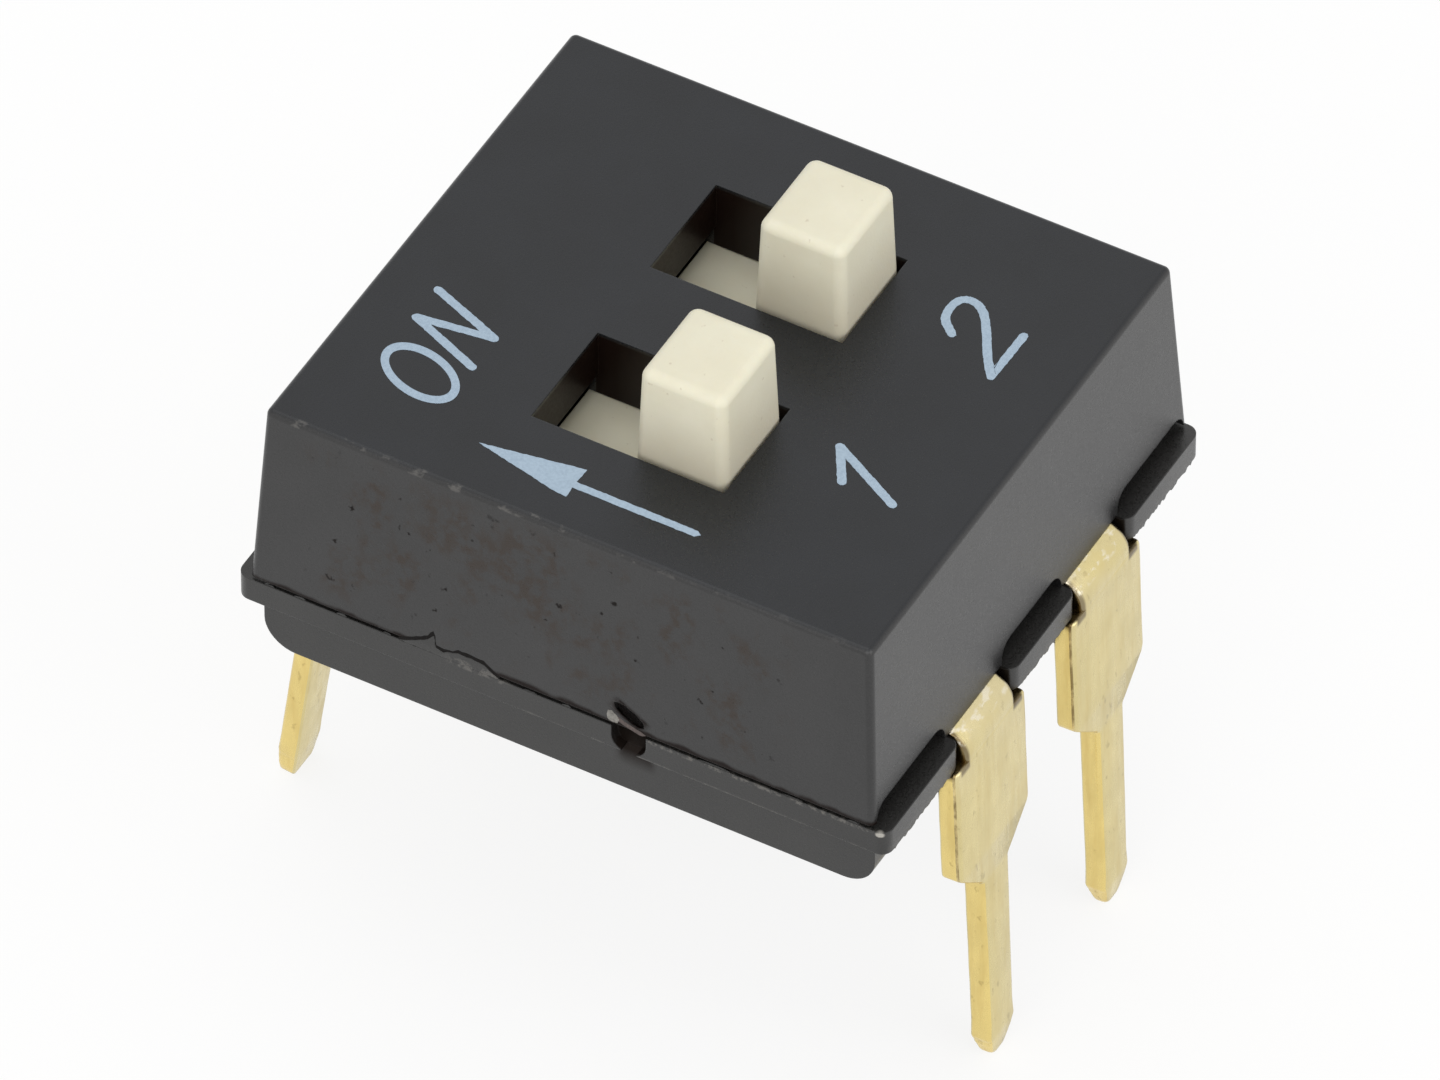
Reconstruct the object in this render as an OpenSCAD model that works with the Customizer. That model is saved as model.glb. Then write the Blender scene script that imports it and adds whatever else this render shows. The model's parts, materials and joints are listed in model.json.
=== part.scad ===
// Two-position slide DIP switch for through-hole boards.
// X runs along the rows of pins, +Y points to the ON side, Z is up.
// The origin is the centre of the pin pattern, on the surface of the board.
// The actuators are drawn in the OFF position and slide toward +Y.

/* [Pins] */
// Distance between the two switch positions
pitch = 2.54; // [2.4:0.01:2.9]
// Distance between the two rows of pins, at the top of the legs
row_spacing = 7.73; // [7.4:0.01:8.4]
// Thickness of the terminal strip
strip_t = 0.25; // [0.2:0.01:0.28]
// Outside radius of the bend at the top of each leg
bend_r = 0.32; // [0.3:0.01:0.36]
// Width of the strip inside the base and over the bend
neck_w = 1.06; // [0.9:0.01:1.14]
// Width of the upper leg, which sets the standing height
wide_w = 1.51; // [1.3:0.01:1.75]
// Width of the leg just below the board surface
leg_w = 0.56; // [0.46:0.01:0.64]
// Width of the leg just above its tip
leg_end_w = 0.5; // [0.4:0.01:0.56]
// Width of the flat at the very tip
tip_w = 0.22; // [0.16:0.01:0.34]
// Height of the chamfers at the tip
tip_h = 0.3; // [0.1:0.01:0.4]
// Depth of the pins below the board surface
pin_depth = 2.93; // [2.3:0.01:3.6]
// Height of the lower end of the wide part above the board
shoulder_h = 0.23; // [0.1:0.01:0.4]
// Depth below the board at which the taper ends
taper_end = 0.19; // [0.1:0.01:0.35]
// Lean of the legs on the numbered side, in degrees
splay_off = 2.4; // [0:0.1:6]
// Lean of the legs on the ON side, in degrees
splay_on = 8; // [0:0.1:9]
// Gap between the top of the wide part and the flange above it
wide_gap = 0.05; // [0.03:0.01:0.12]
// How far the outer faces of the legs stand out from the edge of the flange
leg_proud = 0.055; // [0:0.005:0.08]

/* [Cover] */
// Height of the cover above the parting line
cover_h = 2.45; // [2.3:0.01:2.8]
// Draft of the end walls, measured at the top of each side
draft_x = 0.16; // [0:0.01:0.25]
// Draft of the side walls, measured at the top of each side
draft_y = 0.13; // [0:0.01:0.25]
// Rounding of the top edges and of the upright edges
cover_edge_r = 0.08; // [0.04:0.01:0.14]
// Thickness of the end walls beside the pockets
end_wall = 1.15; // [1:0.01:1.5]
// Thickness of the top plate over the pockets
ceiling_t = 0.62; // [0.4:0.01:0.7]
// Depth of the guide walls on both sides of a window
guide_d = 0.9; // [0.8:0.01:1]
// Step from the side wall of the cover to the edge of the flange
ledge = 0.165; // [0.1:0.005:0.25]
// Height of the slots in the lower edge of the side walls
notch_h = 0.24; // [0.12:0.01:0.35]
// Depth of the slots in the lower edge of the side walls
notch_d = 0.17; // [0.1:0.01:0.25]
// Distance from the corner of the cover to the first slot
notch_end = 0.08; // [0.06:0.01:0.2]
// Rounding of the upper corners of the slots
notch_r = 0.2; // [0.08:0.01:0.22]
// Height of the relief at the foot of the end walls
relief_h = 0.05; // [0.03:0.01:0.1]
// Depth of the relief at the foot of the end walls
relief_d = 0.2; // [0.1:0.01:0.24]

/* [Actuator] */
// Travel of an actuator from OFF to ON
travel = 1.15; // [0.95:0.01:1.3]
// Width of the block at its top
block_x = 1.19; // [1:0.01:1.3]
// Length of the block at its top, along the travel
block_y = 1.03; // [0.9:0.01:1.2]
// Height of the block above the cover
block_rise = 1.17; // [0.6:0.01:1.5]
// Widening of the block on each side for each millimetre of depth
block_taper = 0.03; // [0.01:0.005:0.04]
// Rounding of the edges of the block
block_edge_r = 0.13; // [0.04:0.01:0.16]
// Running gap between the block and the sides of its window
window_side_gap = 0.053; // [0.03:0.001:0.08]
// Gap left between the block and the end of its window
window_end_gap = 0.016; // [0.012:0.001:0.08]
// Thickness of the slide plate under the cover
plate_t = 0.55; // [0.4:0.01:0.6]
// How far the plate reaches past the sides of the window
plate_lap_x = 0.29; // [0.2:0.01:0.32]
// How far the plate reaches past the end of the window
plate_lap_y = 0.12; // [0.06:0.01:0.2]
// Running gap above the slide plate
plate_top_gap = 0.02; // [0.015:0.005:0.05]
// Running gap beside the slide plate
plate_side_gap = 0.02; // [0.015:0.005:0.05]
// Room left at the ends of the pocket
plate_end_gap = 0.12; // [0.04:0.01:0.2]

/* [Sliding contact] */
// Thickness of the contact strip
spring_t = 0.1; // [0.06:0.01:0.12]
// Width of the contact strip
spring_w = 0.8; // [0.6:0.01:0.9]
// Distance from the middle of the contact to the start of each bend
spring_reach = 1; // [0.9:0.01:1.1]
// Middle radius of the upper bends
spring_bend_r = 0.17; // [0.12:0.01:0.2]
// Distance from the middle of the contact to each contact point
tip_reach = 0.6; // [0.56:0.01:0.66]
// Middle radius of the contact points
tip_r = 0.1; // [0.08:0.01:0.14]
// Gap between a contact point and the pads
pad_gap = 0.025; // [0.02:0.005:0.04]
// Diameter of the post that holds the contact
post_d = 0.4; // [0.3:0.01:0.5]
// Clearance of the post in the hole of the contact
post_gap = 0.01; // [0.005:0.005:0.02]
// Diameter of the staked head of the post
head_d = 0.62; // [0.56:0.01:0.7]
// Thickness of the staked head
head_t = 0.08; // [0.05:0.01:0.12]

/* [Base] */
// Height of the parting line above the board
part_h = 2.2; // [2.1:0.01:2.6]
// Thickness of the flange
flange_t = 0.32; // [0.3:0.01:0.36]
// Depth of the tray below the parting line
tray_d = 1.06; // [0.8:0.01:1.4]
// Inset of the end faces of the tray under the flange
tray_inset = 0.17; // [0.08:0.01:0.3]
// Radius of the lower long edges of the tray
tray_r = 0.38; // [0.2:0.01:0.5]
// Gap between the tray and the legs beside it
leg_gap = 0.045; // [0.03:0.005:0.08]
// Gap between a leg and the flange on each side of it
slot_gap = 0.04; // [0.03:0.01:0.1]
// Distance from the slot of a leg to the wall slot above it
land_lap = 0.05; // [0.02:0.01:0.1]
// Rounding of the flange corners beside the legs
flange_r = 0.14; // [0.06:0.01:0.16]
// Inner end of the pads on the numbered side, past the middle
pad_off_end = 0.2; // [0.15:0.01:0.25]
// Bare stretch between the pads of a pair
pad_break = 0.4; // [0.3:0.01:0.5]
// Diameter of the locating pegs
peg_d = 0.5; // [0.4:0.01:0.56]
// Height of the locating pegs
peg_h = 0.7; // [0.4:0.01:0.9]
// Clearance around and above the pegs
peg_gap = 0.02; // [0.01:0.005:0.04]

/* [Gate] */
// Distance of the gate from the middle of the end face
gate_y = 0.83; // [0.5:0.01:1.2]
// Radius of the gate recess in the flange
gate_r = 0.21; // [0.12:0.01:0.25]
// Height of the gate recess below the parting line
gate_h = 0.34; // [0.33:0.01:0.5]
// Depth of the gate recess
gate_d = 0.14; // [0.05:0.01:0.16]
// Height of the slanted mark above the parting line, at its middle
mark_z = 0.24; // [0.24:0.01:0.5]
// Length of the slanted mark in the end wall of the cover
mark_l = 0.42; // [0.3:0.01:0.6]
// Height of the slanted mark
mark_w = 0.15; // [0.06:0.01:0.16]
// Slant of the mark in degrees
mark_tilt = 29; // [0:1:35]

/* [Hidden] */
// Margin by which a cutting shape reaches out of the solid
cut = 0.5;
// Facets of a rounded edge
edge_n = 6;
// Length by which the bent strip runs into the flat leg
leg_lap = 0.3;

// Places of the two positions along X
pos_x = [-pitch / 2, pitch / 2];
// Height of the top of the cover and of the underside of its guide walls
top_z = part_h + cover_h;
guide_z = top_z - guide_d;
// Slide plate
plate_z1 = guide_z - plate_top_gap;
plate_z0 = plate_z1 - plate_t;
// Half sizes of the block at the lower end of the guide walls and of the top plate
block_hx = block_x / 2 + block_taper * (block_rise + guide_d);
block_hy = block_y / 2 + block_taper * (block_rise + ceiling_t);
// Half sizes of the window, the plate and the pocket
window_hx = block_hx + window_side_gap;
window_hy = block_hy + travel / 2 + window_end_gap;
plate_hx = window_hx + plate_lap_x;
plate_hy = window_hy + travel / 2 + plate_lap_y;
pocket_hx = plate_hx + plate_side_gap;
pocket_hy = plate_hy + travel / 2 + plate_end_gap;
// Half sizes of the cover at the parting line
cover_hx = pitch / 2 + pocket_hx + end_wall;
strip_y = row_spacing / 2 + strip_t / 2;
flange_hy = strip_y - leg_proud;
cover_hy = flange_hy - ledge;
// Half sizes of the tray
tray_hx = cover_hx - tray_inset;
tray_hy = strip_y - strip_t - leg_gap;
// Half widths of the slot in the flange and of the land above a leg
slot_hw = neck_w / 2 + slot_gap;
land_hw = slot_hw + land_lap;
// Places of the locating pegs, in the solid corners of the cover
peg_x = pitch / 2 + pocket_hx + end_wall / 2;
peg_y = (pocket_hy + cover_hy) / 2;
// Inner ends of the pads
pad_on_end = pad_off_end + pad_break;

// Points of an arc about (cx, cy) from angle a0 to a1
function arc(cx, cy, r, a0, a1, n = edge_n) =
    [for (i = [0:n]) let (a = a0 + (a1 - a0) * i / n) [cx + r * cos(a), cy + r * sin(a)]];

// Mirror image of an outline about the vertical axis, walked the other way
function flip(pts) = [for (i = [len(pts) - 1:-1:0]) [-pts[i][0], pts[i][1]]];

// Lays an outline in the YZ plane and extrudes it along X, centred
module along_x(len) {
    translate([-len / 2, 0, 0]) rotate([90, 0, 90]) linear_extrude(len) children();
}

// Block with rounded upper and upright edges that widens from its top (x1, y1) to its foot
// (x0, y0), all half sizes
module drafted_block(x0, y0, x1, y1, z0, z1, r) {
    hull() for (sx = [-1, 1], sy = [-1, 1]) {
        translate([sx * (x1 - r), sy * (y1 - r), z1 - r]) sphere(r, $fn = 32);
        translate([sx * (x0 - r), sy * (y0 - r), z0]) cylinder(h = r / 4, r = r, $fn = 32);
    }
}

// Window, guide channel and pocket of one position
module cover_pocket() {
    wx = 2 * window_hx;
    translate([-window_hx, -window_hy, 0]) cube([wx, 2 * window_hy, cover_h + cut]);
    translate([-window_hx, -pocket_hy, 0]) cube([wx, 2 * pocket_hy, cover_h - ceiling_t]);
    translate([-pocket_hx, -pocket_hy, -cut])
        cube([2 * pocket_hx, 2 * pocket_hy, cover_h - guide_d + cut]);
}

// Slots in the lower edge of one side wall, between the lands of the legs
module wall_slots() {
    x_end = cover_hx - notch_end;
    x_land = pitch / 2 + land_hw;
    x_mid = pitch / 2 - land_hw;
    r = notch_r;
    for (span = [[-x_end, -x_land], [-x_mid, x_mid], [x_land, x_end]])
        translate([0, cover_hy + cut, 0]) rotate([90, 0, 0]) linear_extrude(notch_d + cut)
            polygon(concat([[span[0], -cut], [span[1], -cut]], arc(span[1] - r, notch_h - r, r, 0, 90),
                           arc(span[0] + r, notch_h - r, r, 90, 180)));
}

module cover() {
    color("#424448") translate([0, 0, part_h]) difference() {
        drafted_block(cover_hx, cover_hy, cover_hx - draft_x, cover_hy - draft_y, 0, cover_h, cover_edge_r);
        for (x = pos_x) translate([x, 0, 0]) cover_pocket();
        wall_slots();
        mirror([0, 1, 0]) wall_slots();
        for (s = [0, 1]) mirror([s, 0, 0])
            translate([cover_hx - relief_d, -cover_hy - cut, -cut])
                cube([relief_d + cut, 2 * (cover_hy + cut), relief_h + cut]);
        for (sx = [-1, 1], sy = [-1, 1]) translate([sx * peg_x, sy * peg_y, -cut])
            cylinder(h = peg_h + peg_gap + cut, d = peg_d + 2 * peg_gap, $fn = 32);
        translate([-cover_hx, -gate_y, mark_z]) rotate([mark_tilt, 0, 0])
            cube([2 * gate_d, mark_l, mark_w], center = true);
    }
}

// Flange with its slots for the legs, rounded beside each leg
module flange_outline() {
    x_slot = pitch / 2 + slot_hw;
    x_mid = pitch / 2 - slot_hw;
    r = flange_r;
    translate([-cover_hx, -tray_hy]) square([2 * cover_hx, 2 * tray_hy]);
    for (s = [0, 1]) mirror([0, s]) {
        for (t = [0, 1]) mirror([t, 0])
            polygon(concat([[cover_hx, 0]], arc(cover_hx - r, flange_hy - r, r, 0, 90),
                           arc(x_slot + r, flange_hy - r, r, 90, 180), [[x_slot, 0]]));
        polygon(concat([[x_mid, 0]], arc(x_mid - r, flange_hy - r, r, 0, 90),
                       arc(r - x_mid, flange_hy - r, r, 90, 180), [[-x_mid, 0]]));
    }
}

// Tray with rounded lower edges, hanging from the parting line
module tray() {
    side = concat([[tray_hy, 0]], arc(tray_hy - tray_r, tray_r - tray_d, tray_r, 0, -90, 10));
    along_x(2 * tray_hx) polygon(concat(side, flip(side)));
}

// Half round recess over the gate, open at the parting line
module gate_recess() {
    translate([-cover_hx - cut, -gate_y, 0]) {
        translate([0, 0, gate_r - gate_h]) rotate([0, 90, 0])
            cylinder(h = gate_d + cut, r = gate_r, $fn = 48);
        translate([0, -gate_r, gate_r - gate_h]) cube([gate_d + cut, 2 * gate_r, gate_h]);
    }
}

module base() {
    color("#504e4c") {
        difference() {
            translate([0, 0, part_h]) {
                translate([0, 0, -flange_t]) linear_extrude(flange_t) flange_outline();
                tray();
            }
            translate([0, 0, part_h]) gate_recess();
            for (x = pos_x) translate([x, 0, 0]) {
                terminal(pad_on_end, splay_on);
                mirror([0, 1, 0]) terminal(-pad_off_end, splay_off);
                for (s = [0, 1]) mirror([0, s, 0])
                    translate([-neck_w / 2, strip_y - bend_r, part_h - strip_t])
                        cube([neck_w, bend_r, strip_t + cut]);
            }
        }
        for (sx = [-1, 1], sy = [-1, 1]) translate([sx * peg_x, sy * peg_y, part_h - tray_d / 2])
            cylinder(h = tray_d / 2 + peg_h, d = peg_d, $fn = 32);
    }
}

// Block, slide plate and staked post of one position
module actuator() {
    top = top_z + block_rise;
    grow = block_taper * (top - plate_z1);
    r = block_edge_r;
    drafted_block(block_x / 2 + grow, block_y / 2 + grow, block_x / 2, block_y / 2,
                  plate_z1 - r / 4, top, r);
    translate([-plate_hx, -plate_hy, plate_z0]) cube([2 * plate_hx, 2 * plate_hy, plate_t]);
    translate([0, 0, plate_z0 - spring_t]) cylinder(h = spring_t + plate_t / 2, d = post_d, $fn = 32);
    translate([0, 0, plate_z0 - spring_t - head_t]) cylinder(h = head_t, d = head_d, $fn = 32);
}

// Outline of half a contact: along the plate, round the bend, down to the contact point
function spring_half() =
    let (h = spring_t / 2, r1 = spring_bend_r, r2 = tip_r,
         x1 = spring_reach, z1 = plate_z0 - h - r1,
         x2 = tip_reach, z2 = part_h + pad_gap + h + r2,
         dist = norm([x2 - x1, z2 - z1]),
         dir = atan2(z2 - z1, x2 - x1) + asin((r2 - r1) / dist),
         a1 = dir + 90, a2 = -140,
         tail = r1 * [sin(a2), -cos(a2)],
         outer_end = [x2, z2] + (r2 + h) * [cos(a2), sin(a2)] + tail,
         inner_end = [x2, z2] + (r2 - h) * [cos(a2), sin(a2)] + tail)
    concat(arc(x1, z1, r1 + h, 90, a1, 8), arc(x2, z2, r2 + h, a1, a2, 8), [outer_end, inner_end],
           arc(x2, z2, r2 - h, a2, a1, 8), arc(x1, z1, r1 - h, a1, 90, 8));

// Double spring contact with a hole for the post
module contact() {
    difference() {
        along_x(spring_w) polygon(concat(spring_half(), flip(spring_half())));
        translate([0, 0, plate_z0 - spring_t - cut])
            cylinder(h = spring_t + 2 * cut, d = post_d + 2 * post_gap, $fn = 32);
    }
}

// One terminal of the +Y row about x = 0: pad, bend and leg
module terminal(y_in, splay) {
    yc = strip_y - bend_r;
    r_in = bend_r - strip_t;
    zc = part_h - bend_r;
    top = -(wide_gap + flange_t - bend_r + bend_r * sin(splay)) / cos(splay);
    tail = leg_lap - top;
    function drop(z) = (z - zc) / cos(splay);
    tip = drop(-pin_depth) - r_in * tan(splay);
    leg_dir = [sin(splay), -cos(splay)];
    leg_out = [cos(splay), sin(splay)];
    profile = concat([[y_in, part_h]], arc(yc, zc, bend_r, 90, splay, 12),
                     [[yc, zc] + bend_r * leg_out + tail * leg_dir,
                      [yc, zc] + r_in * leg_out + tail * leg_dir],
                     arc(yc, zc, r_in, splay, 90, 12), [[y_in, part_h - strip_t]]);
    side = [[wide_w / 2, top], [wide_w / 2, drop(shoulder_h)], [leg_w / 2, drop(-taper_end)],
            [leg_end_w / 2, tip + tip_h], [tip_w / 2, tip]];
    along_x(neck_w) polygon(profile);
    translate([0, yc, zc]) rotate([splay, 0, 0]) translate([0, bend_r, 0]) rotate([90, 0, 0])
        linear_extrude(strip_t) polygon(concat(side, flip(side)));
}

module actuator_at(i) {
    color("#e7e3cd") translate([pos_x[i], -travel / 2, 0]) actuator();
}

module contact_at(i) {
    color("#d9b25a") translate([pos_x[i], -travel / 2, 0]) contact();
}

module terminal_on(i) {
    color("#e1c573") translate([pos_x[i], 0, 0]) terminal(pad_on_end, splay_on);
}

module terminal_off(i) {
    color("#e1c573") translate([pos_x[i], 0, 0]) mirror([0, 1, 0]) terminal(-pad_off_end, splay_off);
}

cover();
base();
actuator_at(0);  // actuator_1
actuator_at(1);  // actuator_2
contact_at(0);  // contact_1
contact_at(1);  // contact_2
terminal_off(0);  // terminal_off_1
terminal_off(1);  // terminal_off_2
terminal_on(0);  // terminal_on_1
terminal_on(1);  // terminal_on_2
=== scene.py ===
import json
import math
import random

import bmesh
import bpy
from mathutils import Matrix, Vector

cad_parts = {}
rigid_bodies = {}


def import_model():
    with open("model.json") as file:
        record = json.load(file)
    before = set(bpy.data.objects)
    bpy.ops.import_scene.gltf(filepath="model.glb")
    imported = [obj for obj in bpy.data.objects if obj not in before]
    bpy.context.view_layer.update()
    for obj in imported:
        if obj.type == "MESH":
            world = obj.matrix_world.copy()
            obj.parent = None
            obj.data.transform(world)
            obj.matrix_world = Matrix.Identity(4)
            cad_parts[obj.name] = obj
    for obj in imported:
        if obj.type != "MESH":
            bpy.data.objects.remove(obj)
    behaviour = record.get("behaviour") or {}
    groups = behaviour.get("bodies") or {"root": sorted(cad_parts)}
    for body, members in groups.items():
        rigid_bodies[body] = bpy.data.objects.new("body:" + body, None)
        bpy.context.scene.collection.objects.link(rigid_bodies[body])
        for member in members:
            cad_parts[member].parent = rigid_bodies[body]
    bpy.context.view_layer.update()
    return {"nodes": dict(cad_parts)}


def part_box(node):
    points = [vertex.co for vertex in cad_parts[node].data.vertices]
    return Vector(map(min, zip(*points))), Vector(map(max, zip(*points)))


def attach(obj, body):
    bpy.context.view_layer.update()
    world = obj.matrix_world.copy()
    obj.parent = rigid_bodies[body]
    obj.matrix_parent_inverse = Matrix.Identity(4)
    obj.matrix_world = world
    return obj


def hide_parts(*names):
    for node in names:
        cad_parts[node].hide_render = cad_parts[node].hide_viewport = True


for old in list(bpy.data.objects):
    bpy.data.objects.remove(old)
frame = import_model()

MM = 0.001
scene = bpy.context.scene
coll = scene.collection

# In metres: distance at which mesh points merge, half the width of the floor, and how deep
# light goes into the cream plastic
MERGE_DIST = 2e-7
FLOOR_HALF = 1.5
GLOW_DEPTH = 0.0004

# All other sizes and places are in millimetres. These are taken from the frame.
cover_lo, cover_hi = (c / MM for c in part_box("cover"))
base_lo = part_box("base")[0] / MM
PART_Z = cover_lo.z
TOP_Z = cover_hi.z
FOOT_Z = (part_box("terminal_off_1")[0] / MM).z

# Distance of the two positions
PITCH = 2.54
PIN_X = PITCH / 2
# Lean of the -X wall of the cover, height of the relief at its foot, outer face of the flange
WALL_LEAN = 0.068
RELIEF_H = 0.05
FLANGE_X = -3.44
FLANGE_T = 0.32
# Torn gate: its place along the -X wall and over the parting line, and its tilt
GATE_Y, GATE_H = -0.83, 0.24
GATE_TILT = math.radians(29)
# Terminals: strip thickness, outer bend radius, outer face of the legs
STRIP_T, BEND_R, LEG_Y = 0.25, 0.32, 3.99
# Widths of the neck, wide part, leg and lower end of the leg, and height of the tip
NECK_W, WIDE_W, LEG_W, LEG_END_W, TIP_H = 1.06, 1.51, 0.56, 0.52, 0.3
# Top of the wide part under the flange, shoulder over the board, end of its taper, tips
WIDE_GAP, SHOULDER_H, TAPER_END, PIN_DEPTH = 0.05, 0.23, 0.19, -FOOT_Z


# ---------------------------------------------------------------- camera
def place_camera():
    az, el, roll = math.radians(-150.725), math.radians(45.546), math.radians(0.05)
    away, shift_right, shift_down = 240.7, 0.0012, 0.4127
    toward = Vector((math.cos(el) * math.cos(az), math.cos(el) * math.sin(az), math.sin(el)))
    right = Vector((-math.sin(az), math.cos(az), 0))
    up = toward.cross(right)
    right, up = (math.cos(roll) * right + math.sin(roll) * up,
                 math.cos(roll) * up - math.sin(roll) * right)
    cam = bpy.data.objects.new("camera", bpy.data.cameras.new("camera"))
    coll.objects.link(cam)
    sensor_w, focal_px, image_px = 36, 22705, 1440
    cam.data.sensor_fit = "HORIZONTAL"
    cam.data.sensor_width = sensor_w
    cam.data.lens = focal_px / image_px * sensor_w
    cam.data.clip_start = 0.01
    cam.data.clip_end = 10
    spot = toward * away + right * shift_right - up * shift_down + Vector((0, 0, PART_Z))
    turn = Matrix((right, up, toward)).transposed().to_4x4()
    cam.matrix_world = Matrix.Translation(spot * MM) @ turn
    scene.camera = cam


# ---------------------------------------------------------------- material helpers
SOCKETS = {"color": "Base Color", "rough": "Roughness", "normal": "Normal", "metal": "Metallic",
           "ior": "IOR", "specular": "Specular IOR Level", "sss": "Subsurface Weight",
           "sss_scale": "Subsurface Scale", "sss_radius": "Subsurface Radius"}


def shade(tone, k):
    return tuple(t * k for t in tone)


class Nodes:
    """Short names for the nodes of one material."""

    def __init__(self, name):
        self.mat = bpy.data.materials.new(name)
        self.mat.use_nodes = True
        self.tree = self.mat.node_tree
        self.shader = self.tree.nodes["Principled BSDF"]
        self.out = self.tree.nodes["Material Output"]
        coord = self.tree.nodes.new("ShaderNodeTexCoord")
        self.mm = self.vec("SCALE", coord.outputs["Object"], scale=1 / MM)

    def put(self, socket, value):
        if isinstance(value, bpy.types.NodeSocket):
            self.tree.links.new(value, socket)
        elif value is not None:
            socket.default_value = value

    def vec(self, op, a, b=None, scale=None):
        n = self.tree.nodes.new("ShaderNodeVectorMath")
        n.operation = op
        self.put(n.inputs[0], a)
        self.put(n.inputs[1], b)
        if scale is not None:
            n.inputs["Scale"].default_value = scale
        return n.outputs["Vector"]

    def math(self, op, a, b=None, clamp=False):
        n = self.tree.nodes.new("ShaderNodeMath")
        n.operation = op
        n.use_clamp = clamp
        self.put(n.inputs[0], a)
        self.put(n.inputs[1], b)
        return n.outputs[0]

    def plus(self, a, b, clamp=False):
        return self.math("ADD", a, b, clamp)

    def minus(self, a, b):
        return self.math("SUBTRACT", a, b)

    def most(self, a, b):
        return self.math("MAXIMUM", a, b)

    def size(self, a):
        return self.math("ABSOLUTE", a)

    def times(self, *values):
        out = values[0]
        for v in values[1:]:
            out = self.math("MULTIPLY", out, v)
        return out

    def axes(self):
        n = self.tree.nodes.new("ShaderNodeSeparateXYZ")
        self.put(n.inputs[0], self.mm)
        return n.outputs["X"], n.outputs["Y"], n.outputs["Z"]

    def noise(self, scale, detail=3, rough=0.55, stretch=None, shift=None):
        v = self.mm
        if stretch:
            v = self.vec("MULTIPLY", v, stretch)
        if shift:
            v = self.vec("ADD", v, shift)
        n = self.tree.nodes.new("ShaderNodeTexNoise")
        self.put(n.inputs["Vector"], v)
        n.inputs["Scale"].default_value = scale
        n.inputs["Detail"].default_value = detail
        n.inputs["Roughness"].default_value = rough
        return n.outputs["Fac"]

    def span(self, value, a, b, c=0.0, d=1.0, smooth=False):
        """The value's way from a to b, as a number from c to d."""
        n = self.tree.nodes.new("ShaderNodeMapRange")
        n.interpolation_type = "SMOOTHSTEP" if smooth else "LINEAR"
        self.put(n.inputs["Value"], value)
        for key, v in (("From Min", a), ("From Max", b), ("To Min", c), ("To Max", d)):
            self.put(n.inputs[key], v)
        return n.outputs["Result"]

    def near(self, value, middle, half, soft):
        """1 within half of the middle, falling to 0 over soft."""
        away = self.size(self.minus(value, middle))
        return self.span(away, half, half + soft, 1.0, 0.0, smooth=True)

    def mix(self, fac, a, b):
        n = self.tree.nodes.new("ShaderNodeMix")
        n.data_type = "RGBA"
        self.put(n.inputs["Factor"], fac)
        self.put(n.inputs[6], a if isinstance(a, bpy.types.NodeSocket) else (*a, 1))
        self.put(n.inputs[7], b if isinstance(b, bpy.types.NodeSocket) else (*b, 1))
        return n.outputs[2]

    def soft_edge(self, radius):
        n = self.tree.nodes.new("ShaderNodeBevel")
        n.samples = 6
        n.inputs["Radius"].default_value = radius * MM
        return n.outputs["Normal"]

    def bump(self, height, distance, strength, normal=None):
        n = self.tree.nodes.new("ShaderNodeBump")
        n.inputs["Strength"].default_value = strength
        n.inputs["Distance"].default_value = distance * MM
        self.put(n.inputs["Height"], height)
        self.put(n.inputs["Normal"], normal)
        return n.outputs["Normal"]

    def set(self, **sockets):
        for key, v in sockets.items():
            if key == "color" and isinstance(v, tuple):
                v = (*v, 1)
            self.put(self.shader.inputs[SOCKETS[key]], v)
        return self.mat


# ---------------------------------------------------------------- black plastic
BLACK_SHINE = 0.56
EDGE_ROUND = 0.022


def black_ground(m, tone):
    """Mottling, colour, roughness and relief that the cover and the base share."""
    cloud = m.noise(1.1, 4, 0.6)
    grain = m.noise(34, 3, 0.65)
    fine = m.noise(90, 2, 0.5)
    streak = m.noise(14, 3, 0.6, stretch=(1.0, 1.0, 0.08))
    color = m.mix(m.span(cloud, 0.3, 0.7), shade(tone, 0.85), shade(tone, 1.2))
    color = m.mix(m.span(grain, 0.45, 0.8, 0.0, 0.5), color, shade(tone, 2.2))
    rough = m.span(grain, 0.3, 0.75, 0.24, 0.4)
    height = m.plus(m.times(grain, 0.6), m.times(fine, 0.25))
    height = m.plus(height, m.times(streak, 0.3))
    return cloud, color, rough, height


def black_finish(m, color, rough, height, shine):
    normal = m.bump(height, 0.006, 0.5, m.soft_edge(EDGE_ROUND))
    return m.set(color=color, rough=rough, normal=normal, ior=1.5, specular=shine)


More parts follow.
